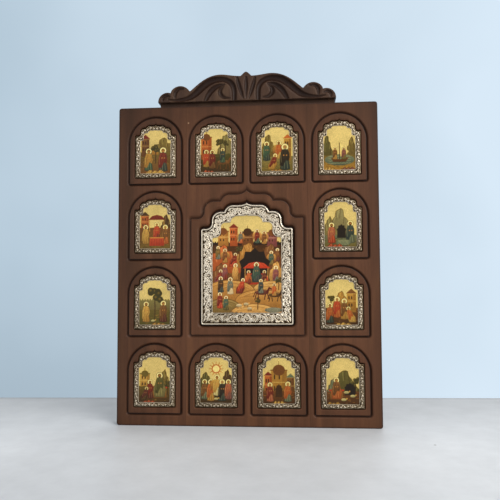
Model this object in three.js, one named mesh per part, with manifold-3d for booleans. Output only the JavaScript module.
// Festal icon board: a carved walnut-stained board with twelve arched niches round a
// larger one. Each niche holds a small printed panel under an embossed silver cover.
// A carved crest stands on two dowels on the top edge, and a ring hangs on the back.
// Millimetres. X to the viewer's right, Y away from the viewer, Z up. The origin is the
// middle of the board's bottom edge.

import * as THREE from 'three';
import { mergeVertices } from 'three/addons/utils/BufferGeometryUtils.js';
import Module from 'manifold-3d';

const wasm = await Module();
wasm.setup();

// Board
const boardWidth = 300;
const boardHeight = 367.4;
const boardThickness = 20;
const boardCornerRadius = 3;
const boardEdgeRound = 1;

// Niche layout: the carved groove's centre line bounds each niche
const columns = 4;
const rows = 4;
const sideMargin = 12.5;
const bottomMargin = 13.1;
const topMargin = 12.2;
const columnWeb = 9;
const rowWeb = 8.7;
const nicheCornerRadius = 2.2;

// Groove round a small niche: steep on the inside, eased on the outside
const grooveDepth = 2.2;
const grooveInside = 1.1;
const grooveFloor = 1.5;
const grooveEase = 2.4;

// Middle field and its wider carved line
const middleSideWeb = 10.2;
const middleBaseWeb = 9.4;
const middleTipWeb = 7.2;
const lineDepth = 2.4;
const lineInside = 1.2;
const lineFloor = 1.6;
const lineEase = 4;

// Covers: distances from the carved line to the cover, and the band round each picture
const coverSideMargin = 7.2;
const coverBaseMargin = 8;
const coverTipMargin = 8.8;
const coverSideBand = 5.8;
const coverBaseBand = 5.2;
const coverTipBand = 5.9;
const middleCoverSideMargin = 12.8;
const middleCoverBaseMargin = 12.5;
const middleCoverTipMargin = 16;
const middleCoverSideBand = 13;
const middleCoverBaseBand = 13.5;
const middleCoverTipBand = 14;
const middleRimWidth = 1.6;
const middleRimHeight = 0.6;
const coverPlate = 0.9;
const coverSkirtWall = 0.6;
const coverSkirtDepth = 1.8;
const coverProud = 0.3;

// Panels, pockets and seats
const panelThickness = 2.6;
const middlePanelThickness = 3;
const pocketGap = 1.8;
const middlePocketGap = 2.3;
const seatGap = 0.3;

// Crest
const crestHalfWidth = 103.6;
const crestReliefHeight = 33.9;
const neckHeight = 5.6;
const neckSetBack = 6;
const neckInset = 1.8;
const crestEdgeRound = 0.9;
const gougeDepthShare = 0.4;

// Dowels between board and crest
const dowelRadius = 3;
const dowelDepth = 14;
const dowelSpacing = 120;
const dowelClearance = 0.3;

// Hanging ring, its strap and screws
const hangerDrop = 38;
const strapWidth = 12;
const strapLength = 20;
const strapSheet = 1;
const strapCornerRadius = 2;
const curlMouthAngle = 1.2;
const wireRadius = 1.25;
const ringClearance = 0.35;
const ringHalfWidth = 10.5;
const ringDrop = 34;
const ringCornerRadius = 3;
const screwSpacing = 8;
const screwEndDistance = 5;
const screwHeadRadius = 2.6;
const screwHeadHeight = 1.5;
const screwShankRadius = 1.4;
const screwLength = 13;
const screwClearance = 0.3;

// One overrun serves every cut
const overrun = 1;
const mergeTolerance = 1e-5;

// Shares of an outline's half width (x, radii) and of its height (z)
const coverShares = {
  cornerShare: 0.05, shoulderShare: 0.792, shoulderRoundShare: 0.04, lobeShare: 0.752,
  coveShare: 0.115, lobeTopShare: 0.938, lobeRoundShare: 0.2, footShare: 0.468,
  crownTopShare: 0.981, crownRoundShare: 0.15, ogeeShare: 0.15,
};
const middleCoverShares = {
  cornerShare: 0.04, shoulderShare: 0.788, shoulderRoundShare: 0.04, lobeShare: 0.762,
  coveShare: 0.133, lobeTopShare: 0.928, lobeRoundShare: 0.19, footShare: 0.486,
  crownTopShare: 0.981, crownRoundShare: 0.19, ogeeShare: 0.19,
};
const windowShares = {
  cornerShare: 0.04, shoulderShare: 0.765, shoulderRoundShare: 0.06, lobeShare: 0.78,
  coveShare: 0.12, lobeTopShare: 0.935, lobeRoundShare: 0.18, footShare: 0.5,
  crownTopShare: 0.99, crownRoundShare: 0.18, ogeeShare: 0.17,
};
const middleWindowShares = {
  cornerShare: 0.03, shoulderShare: 0.771, shoulderRoundShare: 0.05, lobeShare: 0.752,
  coveShare: 0.177, lobeTopShare: 0.925, lobeRoundShare: 0.13, footShare: 0.468,
  crownTopShare: 0.992, crownRoundShare: 0.2, ogeeShare: 0.13,
};
const middleLineShares = {
  cornerShare: 0.03, shoulderShare: 0.804, shoulderRoundShare: 0.03, lobeShare: 0.766,
  coveShare: 0.107, lobeTopShare: 0.924, lobeRoundShare: 0.184, footShare: 0.467,
  crownTopShare: 0.97, crownRoundShare: 0.184, ogeeShare: 0.184,
};

// Crest contour, right half: x and radii as shares of the half width, z of the relief
const endLobeShares = {
  xShare: 0.893, zShare: 0.02, radiusShare: 0.107, fromAngle: 0, toAngle: 1.9,
};
const sideLobeShares = {
  xShare: 0.748, zShare: 0.19, radiusShare: 0.123, fromAngle: 0.6, toAngle: 2.6,
};
const sweepShares = [[0.632, 0.38], [0.545, 0.6], [0.45, 0.926], [0.285, 0.926]];
const saddleShares = [[0.285, 0.926], [0.215, 0.926], [0.174, 0.868], [0.063, 0.856]];
const finialShares = [[0.063, 0.856], [0.042, 0.9], [0.02, 1], [0, 1]];

// Gouge strokes on the crest, right half: points as above, widths as shares of the relief
const strokeShares = [
  { // long valley from the lobes, under the rim, round the eye and down to the base
    pointShares: [[0.88, 0.1], [0.8, 0.065], [0.7, 0.09], [0.615, 0.18], [0.545, 0.35],
      [0.48, 0.53], [0.4, 0.69], [0.31, 0.75], [0.23, 0.725], [0.165, 0.59], [0.136, 0.36],
      [0.136, -0.06]],
    widthShares: [0.05, 0.1, 0.15, 0.21, 0.24, 0.25, 0.25, 0.22, 0.2, 0.2, 0.18, 0.16],
  },
  { // inner valley of the leaf
    pointShares: [[0.468, -0.04], [0.43, 0.2], [0.385, 0.38], [0.32, 0.52], [0.245, 0.57]],
    widthShares: [0.13, 0.18, 0.2, 0.17, 0.07],
  },
  { // crescent outside the eye
    pointShares: [[0.255, 0.5], [0.288, 0.4], [0.292, 0.25], [0.25, 0.12], [0.185, 0.09]],
    widthShares: [0.06, 0.14, 0.16, 0.13, 0.05],
  },
  { // curl in the side lobe
    pointShares: [[0.71, 0.455], [0.765, 0.455], [0.803, 0.33], [0.805, 0.14]],
    widthShares: [0.06, 0.12, 0.14, 0.07],
  },
  { // curl in the end lobe
    pointShares: [[0.87, 0.2], [0.905, 0.235], [0.942, 0.17], [0.945, 0.04]],
    widthShares: [0.05, 0.11, 0.11, 0.05],
  },
  { // side parting of the palmette
    pointShares: [[0.1, 0.79], [0.083, 0.56], [0.052, 0.25], [0.03, 0.06]],
    widthShares: [0.08, 0.14, 0.12, 0.04],
  },
];
const middleStrokeShares = {
  pointShares: [[0, 0.8], [0, 0.5], [0, 0.08]],
  widthShares: [0.08, 0.13, 0.04],
};

// Arc and curve steps
const middleSteps = 4;
const coarseSteps = 2;
const archSteps = 14;
const contourSteps = 5;
const strokeSteps = 3;
const gougeSides = 3;
const roundSides = 16;
const wireSides = 8;
const curlSteps = 10;

// Worked-out places
const nicheWidth = (boardWidth - 2 * sideMargin - (columns - 1) * columnWeb) / columns;
const nicheHeight =
  (boardHeight - bottomMargin - topMargin - (rows - 1) * rowWeb) / rows;
const columnPitch = nicheWidth + columnWeb;
const rowPitch = nicheHeight + rowWeb;
const frontFace = boardThickness / 2;
const crestBase = boardHeight + neckHeight;

const walnut = new THREE.MeshStandardMaterial({ color: 0x5c4030, roughness: 0.5, metalness: 0 });
const beech = new THREE.MeshStandardMaterial({ color: 0xb89468, roughness: 0.7, metalness: 0 });
const print = new THREE.MeshStandardMaterial({ color: 0xb08a4c, roughness: 0.4, metalness: 0 });
const silver = new THREE.MeshStandardMaterial({ color: 0xb4aa9c, roughness: 0.4, metalness: 1 });
const brass = new THREE.MeshStandardMaterial({ color: 0xa88f5a, roughness: 0.4, metalness: 1 });

// Shapes are drawn facing the viewer: x to the right, y up, z towards the viewer. This
// turns them upright, so that y becomes the part's Z and z its -Y.
const upright = new THREE.Matrix4().set(1, 0, 0, 0, 0, 0, -1, 0, 0, 1, 0, 0, 0, 0, 0, 1);

function toSolid(geometry) {
  const bare = geometry.clone();
  bare.deleteAttribute('normal');
  bare.deleteAttribute('uv');
  const merged = mergeVertices(bare, mergeTolerance);
  return new wasm.Manifold(new wasm.Mesh({
    numProp: 3,
    vertProperties: merged.attributes.position.array,
    triVerts: new Uint32Array(merged.index.array),
  }));
}

function toMesh(name, solid, material) {
  const { vertProperties, triVerts } = solid.getMesh();
  const geometry = new THREE.BufferGeometry();
  geometry.setAttribute('position', new THREE.BufferAttribute(vertProperties, 3));
  geometry.setIndex(new THREE.BufferAttribute(triVerts, 1));
  geometry.computeVertexNormals();
  const mesh = new THREE.Mesh(geometry, material);
  mesh.name = name;
  return mesh;
}

// A skin through rings of points. An open one is closed by a fan at each end.
function loft(rings, joined = false) {
  const size = rings[0].length;
  const index = [];
  const spans = joined ? rings.length : rings.length - 1;
  for (let i = 0; i < spans; i += 1) {
    const near = i * size;
    const far = ((i + 1) % rings.length) * size;
    for (let j = 0; j < size; j += 1) {
      const k = (j + 1) % size;
      index.push(near + j, far + j, far + k, near + j, far + k, near + k);
    }
  }
  if (!joined) {
    const last = (rings.length - 1) * size;
    for (let j = 1; j < size - 1; j += 1) {
      index.push(0, j, j + 1);
      index.push(last, last + j + 1, last + j);
    }
  }
  const geometry = new THREE.BufferGeometry().setFromPoints(rings.flat());
  geometry.setIndex(facesOut(rings.flat(), index));
  return toSolid(geometry);
}

// Turns every triangle round where the skin encloses a negative volume.
function facesOut(points, index) {
  let volume = 0;
  for (let i = 0; i < index.length; i += 3) {
    const [a, b, c] = [points[index[i]], points[index[i + 1]], points[index[i + 2]]];
    volume += a.dot(b.clone().cross(c));
  }
  return volume > 0 ? index : index.reverse();
}

function slab(points, back, front) {
  const shape = new THREE.Shape(points);
  const geometry = new THREE.ExtrudeGeometry(shape, { depth: front - back, bevelEnabled: false });
  geometry.translate(0, 0, back);
  return toSolid(geometry);
}

// A slab with both edges eased, inside the outline.
function easedSlab(points, back, front, ease, easeSteps) {
  const geometry = new THREE.ExtrudeGeometry(new THREE.Shape(points), {
    depth: front - back - 2 * ease,
    bevelEnabled: true,
    bevelThickness: ease,
    bevelSize: ease,
    bevelOffset: -ease,
    bevelSegments: easeSteps,
  });
  geometry.translate(0, 0, back + ease);
  return toSolid(geometry);
}

function arc(x, y, radius, from, to, steps) {
  return new THREE.EllipseCurve(x, y, radius, radius, from, to, to < from).getPoints(steps);
}

function mirrored(half) {
  const left = half.map((p) => new THREE.Vector2(-p.x, p.y)).reverse();
  return half.concat(left.filter((p) => p.x < 0));
}

// Unit offsets of a closed anticlockwise outline: each corner moves along its mitre.
function mitres(points) {
  return points.map((point, i) => {
    const before = points[(i + points.length - 1) % points.length];
    const after = points[(i + 1) % points.length];
    const inward = point.clone().sub(before).normalize();
    const onward = after.clone().sub(point).normalize();
    const normalIn = new THREE.Vector2(inward.y, -inward.x);
    const normalOn = new THREE.Vector2(onward.y, -onward.x);
    const sum = normalIn.clone().add(normalOn);
    return sum.divideScalar(1 + normalIn.dot(normalOn));
  });
}

function grown(points, distance) {
  const out = mitres(points);
  return points.map((point, i) => point.clone().addScaledVector(out[i], distance));
}

// The multifoil arch that pockets, covers, windows and the middle line share: straight
// sides, a shoulder, a cove up to a round lobe, a smaller crown and an ogee tip.
function foiledArch({ halfWidth, base, tip }, shares, steps, tipSteps) {
  const height = tip - base;
  const corner = shares.cornerShare * halfWidth;
  const shoulder = base + shares.shoulderShare * height;
  const ease = shares.shoulderRoundShare * halfWidth;
  const cove = shares.coveShare * halfWidth;
  const lobe = shares.lobeShare * halfWidth;
  const lobeTop = base + shares.lobeTopShare * height;
  const lobeRound = shares.lobeRoundShare * halfWidth;
  const foot = shares.footShare * halfWidth;
  const crownTop = base + shares.crownTopShare * height;
  const crownRound = shares.crownRoundShare * halfWidth;
  const ogee = shares.ogeeShare * halfWidth;
  const rise = Math.max(0, 1 - (crownTop - lobeTop) / crownRound);
  const start = Math.asin(rise);
  const crown = foot - crownRound * Math.cos(start);
  const right = Math.PI / 2;
  const tipCurve = new THREE.QuadraticBezierCurve(
    new THREE.Vector2(Math.min(ogee, crown), crownTop),
    new THREE.Vector2(ogee / 3, crownTop),
    new THREE.Vector2(0, tip),
  );
  return mirrored([
    ...arc(halfWidth - corner, base + corner, corner, -right, 0, tipSteps),
    ...arc(halfWidth - ease, shoulder - ease, ease, 0, right, 1),
    ...arc(lobe + cove, shoulder + cove, cove, 3 * right, 2 * right, steps),
    ...arc(lobe - lobeRound, lobeTop - lobeRound, lobeRound, 0, right, steps),
    ...arc(crown, crownTop - crownRound, crownRound, start, right, steps),
    ...tipCurve.getPoints(tipSteps),
  ].filter((p, i, all) => i === 0 || p.distanceTo(all[i - 1]) > mergeTolerance));
}

// The round-headed line carved round a small niche.
function archedLine(halfWidth, base, top) {
  const right = Math.PI / 2;
  return mirrored([
    ...arc(halfWidth - nicheCornerRadius, base + nicheCornerRadius, nicheCornerRadius,
      -right, 0, coarseSteps),
    ...arc(0, top - halfWidth, halfWidth, 0, right, archSteps / 2),
  ]);
}

// A bar of constant section along a closed line: [offset outwards, depth] points.
function barAlong(line, section) {
  const out = mitres(line);
  return loft(line.map((p, i) => section.map(([offset, depth]) =>
    new THREE.Vector3(p.x + offset * out[i].x, p.y + offset * out[i].y, depth))), true);
}

// A groove cutter along a closed line in the front face.
function grooveCutter(line, { inside, floor, ease, depth }) {
  const outer = floor - inside + ease;
  return barAlong(line, [
    [-inside, frontFace + overrun],
    [-inside, frontFace - depth],
    [floor - inside, frontFace - depth],
    [outer, frontFace],
    [outer, frontFace + overrun],
  ]);
}

// Niche places, from the top left to the bottom right, without the middle four
const niches = [];
for (let row = rows - 1; row >= 0; row -= 1) {
  for (let column = 0; column < columns; column += 1) {
    const inner = column > 0 && column < columns - 1 && row > 0 && row < rows - 1;
    if (!inner) {
      niches.push({
        x: (column - (columns - 1) / 2) * columnPitch,
        z: bottomMargin + row * rowPitch,
      });
    }
  }
}

// Outlines of one small niche, from the middle of its groove's base
const coverArch = {
  halfWidth: nicheWidth / 2 - coverSideMargin,
  base: coverBaseMargin,
  tip: nicheHeight - coverTipMargin,
};
const windowArch = {
  halfWidth: coverArch.halfWidth - coverSideBand,
  base: coverArch.base + coverBaseBand,
  tip: coverArch.tip - coverTipBand,
};
const coverOutline = foiledArch(coverArch, coverShares, coarseSteps, 1);
const windowOutline = foiledArch(windowArch, windowShares, 2, 1);

// Outlines of the middle field
const middleLine = {
  halfWidth: boardWidth / 2 - sideMargin - nicheWidth - middleSideWeb,
  base: bottomMargin + nicheHeight + middleBaseWeb,
  tip: bottomMargin + (rows - 1) * rowPitch - middleTipWeb,
};
const middleCoverArch = {
  halfWidth: middleLine.halfWidth - middleCoverSideMargin,
  base: middleLine.base + middleCoverBaseMargin,
  tip: middleLine.tip - middleCoverTipMargin,
};
const middleWindowArch = {
  halfWidth: middleCoverArch.halfWidth - middleCoverSideBand,
  base: middleCoverArch.base + middleCoverBaseBand,
  tip: middleCoverArch.tip - middleCoverTipBand,
};
const middleLineOutline = foiledArch(middleLine, middleLineShares, middleSteps, 2);
const middleCoverOutline = foiledArch(middleCoverArch, middleCoverShares, middleSteps, 2);
const middleWindowOutline = foiledArch(middleWindowArch, middleWindowShares, middleSteps, 2);

function movedOutline(points, x, z) {
  return points.map((p) => new THREE.Vector2(p.x + x, p.y + z));
}

// Depths in front of the board's middle plane
function stack(thickness) {
  const coverFront = frontFace + coverProud;
  const panelFront = coverFront - coverPlate - seatGap;
  const panelBack = panelFront - thickness;
  return { coverFront, panelFront, panelBack, pocketFloor: panelBack - seatGap };
}
const small = stack(panelThickness);
const middle = stack(middlePanelThickness);

function roundRod(radius, length, sides) {
  return new THREE.CylinderGeometry(radius, radius, length, sides);
}

const dowelPlaces = [
  { name: 'crest_dowel_left', x: -dowelSpacing / 2 },
  { name: 'crest_dowel_right', x: dowelSpacing / 2 },
];
const dowelDepthPlane = -neckSetBack / 2;

function dowelSolid(x, radius, extra) {
  const rod = roundRod(radius, 2 * (dowelDepth + extra), roundSides);
  rod.translate(x, boardHeight + seatGap / 2, dowelDepthPlane);
  return toSolid(rod);
}

const ringAxisHeight = boardHeight - hangerDrop;
const screwHeights = [0, 1].map((i) =>
  ringAxisHeight - strapLength + screwEndDistance + i * screwSpacing);

// A cutter for a screw's hole, from behind the strap into the board.
function screwHole(height) {
  const back = seatGap + strapSheet + overrun;
  const rod = roundRod(screwShankRadius + screwClearance, screwLength + back, roundSides);
  rod.rotateX(Math.PI / 2);
  rod.translate(0, height, -frontFace + (screwLength - back) / 2);
  return toSolid(rod);
}

function boardMesh() {
  const corner = boardCornerRadius;
  const right = Math.PI / 2;
  const outline = mirrored([
    ...arc(boardWidth / 2 - corner, corner, corner, -right, 0, coarseSteps),
    ...arc(boardWidth / 2 - corner, boardHeight - corner, corner, 0, right, coarseSteps),
  ]);
  let solid = easedSlab(outline, -frontFace, frontFace, boardEdgeRound, coarseSteps);
  const line = archedLine(nicheWidth / 2, 0, nicheHeight);
  const groove = {
    inside: grooveInside, floor: grooveFloor, ease: grooveEase, depth: grooveDepth,
  };
  const pocket = grown(coverOutline, pocketGap);
  for (const { x, z } of niches) {
    solid = solid.subtract(grooveCutter(movedOutline(line, x, z), groove));
    solid = solid.subtract(
      slab(movedOutline(pocket, x, z), small.pocketFloor, frontFace + overrun));
  }
  solid = solid.subtract(grooveCutter(middleLineOutline, {
    inside: lineInside, floor: lineFloor, ease: lineEase, depth: lineDepth,
  }));
  const middlePocket = grown(middleCoverOutline, middlePocketGap);
  solid = solid.subtract(slab(middlePocket, middle.pocketFloor, frontFace + overrun));
  for (const { x } of dowelPlaces) {
    solid = solid.subtract(dowelSolid(x, dowelRadius + dowelClearance, seatGap));
  }
  for (const height of screwHeights) {
    solid = solid.subtract(screwHole(height));
  }
  return toMesh('board', solid, walnut);
}

function panelMesh(name, outline, { panelBack, panelFront }) {
  const edge = grown(outline, -(coverSkirtWall + seatGap));
  return toMesh(name, slab(edge, panelBack, panelFront), print);
}

// A thin cover: a plate with the picture's window, and a skirt folded round the panel.
function coverSolid(outline, window, { coverFront }) {
  const underside = coverFront - coverPlate;
  const shell = slab(outline, underside - coverSkirtDepth, coverFront);
  const hollow = slab(grown(outline, -coverSkirtWall),
    underside - coverSkirtDepth - overrun, underside);
  const opening = slab(window, underside - overrun, coverFront + overrun);
  return shell.subtract(hollow).subtract(opening);
}

function middleCoverMesh() {
  const { coverFront } = middle;
  const top = coverFront + middleRimHeight;
  const rim = slab(middleCoverOutline, coverFront - coverPlate / 2, top)
    .subtract(slab(grown(middleCoverOutline, -middleRimWidth),
      coverFront - coverPlate, top + overrun));
  const cover = coverSolid(middleCoverOutline, middleWindowOutline, middle).add(rim);
  return toMesh('center_cover', cover, silver);
}

// Crest: shares to millimetres above the relief's base
function crestPoint([x, z]) {
  return new THREE.Vector2(x * crestHalfWidth, crestBase + z * crestReliefHeight);
}

function crestLobe({ xShare, zShare, radiusShare, fromAngle, toAngle }) {
  const centre = crestPoint([xShare, zShare]);
  return arc(centre.x, centre.y, radiusShare * crestHalfWidth, fromAngle, toAngle,
    contourSteps + 1);
}

function crestCurve(shares, steps) {
  return new THREE.CubicBezierCurve(...shares.map(crestPoint)).getPoints(steps);
}

function crestOutline() {
  return mirrored([
    ...crestLobe(endLobeShares),
    ...crestLobe(sideLobeShares),
    ...crestCurve(sweepShares, 2 * contourSteps),
    ...crestCurve(saddleShares, contourSteps).slice(1),
    ...crestCurve(finialShares, contourSteps - 1).slice(1),
  ]);
}

// One pass of a gouge: a rounded cut along a curve, shallow and narrow where it fades.
function gougeStroke({ pointShares, widthShares }, side) {
  const path = new THREE.SplineCurve(pointShares.map(crestPoint).map((p) =>
    new THREE.Vector2(side * p.x, p.y)));
  const steps = strokeSteps * (pointShares.length - 1);
  const rings = [];
  for (let i = 0; i <= steps; i += 1) {
    const place = i / strokeSteps;
    const near = Math.min(Math.floor(place), widthShares.length - 2);
    const share = THREE.MathUtils.lerp(widthShares[near], widthShares[near + 1], place - near);
    const half = (share * crestReliefHeight) / 2;
    const centre = path.getPoint(i / steps);
    const along = path.getTangent(i / steps);
    const across = new THREE.Vector2(along.y, -along.x);
    const ring = [];
    for (let j = 0; j <= gougeSides; j += 1) {
      const angle = (Math.PI * j) / gougeSides;
      const reach = -Math.cos(angle) * half;
      const sink = Math.sin(angle) * 2 * half * gougeDepthShare;
      ring.push(new THREE.Vector3(centre.x + reach * across.x, centre.y + reach * across.y,
        frontFace - sink));
    }
    for (const end of [1, -1]) {
      ring.push(new THREE.Vector3(centre.x + end * half * across.x,
        centre.y + end * half * across.y, frontFace + overrun));
    }
    rings.push(ring);
  }
  return loft(rings);
}

function crestMesh() {
  let solid = easedSlab(crestOutline(), -frontFace, frontFace, crestEdgeRound, 1);
  const neckHalfWidth = crestHalfWidth - neckInset;
  const neckBase = boardHeight + seatGap;
  const neckTop = crestBase + overrun;
  const neck = [
    new THREE.Vector2(-neckHalfWidth, neckBase),
    new THREE.Vector2(neckHalfWidth, neckBase),
    new THREE.Vector2(neckHalfWidth, neckTop),
    new THREE.Vector2(-neckHalfWidth, neckTop),
  ];
  solid = solid.add(slab(neck, -frontFace, frontFace - neckSetBack));
  solid = solid.subtract(gougeStroke(middleStrokeShares, 1));
  for (const stroke of strokeShares) {
    solid = solid.subtract(gougeStroke(stroke, 1));
    solid = solid.subtract(gougeStroke(stroke, -1));
  }
  for (const { x } of dowelPlaces) {
    solid = solid.subtract(dowelSolid(x, dowelRadius + dowelClearance, seatGap));
  }
  return toMesh('crest', solid, walnut);
}

// The hanger is drawn in depth behind the board's back face
const curlInner = wireRadius + ringClearance;
const curlOuter = curlInner + strapSheet;
const ringDepth = seatGap + curlOuter;

// Strap: a round-footed strip on the back face, its top curled round the ring's bar.
function strapMesh() {
  const foot = ringAxisHeight - strapLength;
  const end = curlMouthAngle - Math.PI / 2;
  const profile = [
    new THREE.Vector2(seatGap, foot),
    new THREE.Vector2(seatGap + strapSheet, foot),
    ...arc(ringDepth, ringAxisHeight, curlInner, Math.PI, end, curlSteps),
    ...arc(ringDepth, ringAxisHeight, curlOuter, end, Math.PI, curlSteps),
  ];
  const geometry = new THREE.ExtrudeGeometry(new THREE.Shape(profile), {
    depth: strapWidth, bevelEnabled: false,
  });
  geometry.translate(0, 0, -strapWidth / 2);
  geometry.rotateY(Math.PI / 2);
  geometry.translate(0, 0, -frontFace);
  const half = strapWidth / 2;
  const plan = mirrored([
    ...arc(half - strapCornerRadius, foot + strapCornerRadius, strapCornerRadius,
      -Math.PI / 2, 0, coarseSteps),
    new THREE.Vector2(half, ringAxisHeight + curlOuter + overrun),
  ]);
  const behind = -frontFace - ringDepth - curlOuter - overrun;
  let solid = toSolid(geometry).intersect(slab(plan, behind, -frontFace));
  for (const height of screwHeights) {
    solid = solid.subtract(screwHole(height));
  }
  return toMesh('hanger_strap', solid, brass);
}

// Ring: a wire loop with a straight bar in the curl and a round lower end.
function ringMesh() {
  const right = Math.PI / 2;
  const line = [
    ...arc(0, ringAxisHeight - ringDrop + ringHalfWidth, ringHalfWidth,
      2 * right, 4 * right, curlSteps),
    ...arc(ringHalfWidth - ringCornerRadius, ringAxisHeight - ringCornerRadius,
      ringCornerRadius, 0, right, coarseSteps),
    ...arc(ringCornerRadius - ringHalfWidth, ringAxisHeight - ringCornerRadius,
      ringCornerRadius, right, 2 * right, coarseSteps),
  ];
  const section = [];
  for (let i = 0; i < wireSides; i += 1) {
    const angle = (2 * Math.PI * i) / wireSides;
    section.push([wireRadius * Math.cos(angle),
      wireRadius * Math.sin(angle) - frontFace - ringDepth]);
  }
  return toMesh('hanger_ring', barAlong(line, section), brass);
}

// Round-head screw through the strap into the board.
function screwMesh(name, height) {
  const dome = arc(0, 0, 1, 0, Math.PI / 2, coarseSteps).map((p) =>
    new THREE.Vector2(p.x * screwHeadRadius, p.y * screwHeadHeight));
  dome[dome.length - 1].x = 0;
  const profile = [
    new THREE.Vector2(0, -screwLength),
    new THREE.Vector2(screwShankRadius, 2 * screwShankRadius - screwLength),
    new THREE.Vector2(screwShankRadius, 0),
    ...dome,
  ];
  const geometry = new THREE.LatheGeometry(profile, roundSides);
  geometry.rotateX(-Math.PI / 2);
  geometry.translate(0, height, -frontFace - seatGap - strapSheet - seatGap);
  return toMesh(name, toSolid(geometry), brass);
}

const group = new THREE.Group();

function place(mesh, x, z) {
  mesh.geometry.translate(x, z, 0);
  mesh.geometry.applyMatrix4(upright);
  group.add(mesh);
}

place(boardMesh(), 0, 0);
place(crestMesh(), 0, 0);
for (const { name, x } of dowelPlaces) {
  place(toMesh(name, dowelSolid(x, dowelRadius, 0), beech), 0, 0);
}
place(panelMesh('center_panel', middleCoverOutline, middle), 0, 0);
place(middleCoverMesh(), 0, 0);
niches.forEach(({ x, z }, i) => {
  const number = String(i + 1).padStart(2, '0');
  place(panelMesh(`feast_panel_${number}`, coverOutline, small), x, z);
  const cover = coverSolid(coverOutline, windowOutline, small);
  place(toMesh(`feast_cover_${number}`, cover, silver), x, z);
});
place(strapMesh(), 0, 0);
place(ringMesh(), 0, 0);
screwHeights.forEach((height, i) => {
  place(screwMesh(`hanger_screw_${['lower', 'upper'][i]}`, height), 0, 0);
});

export default group;
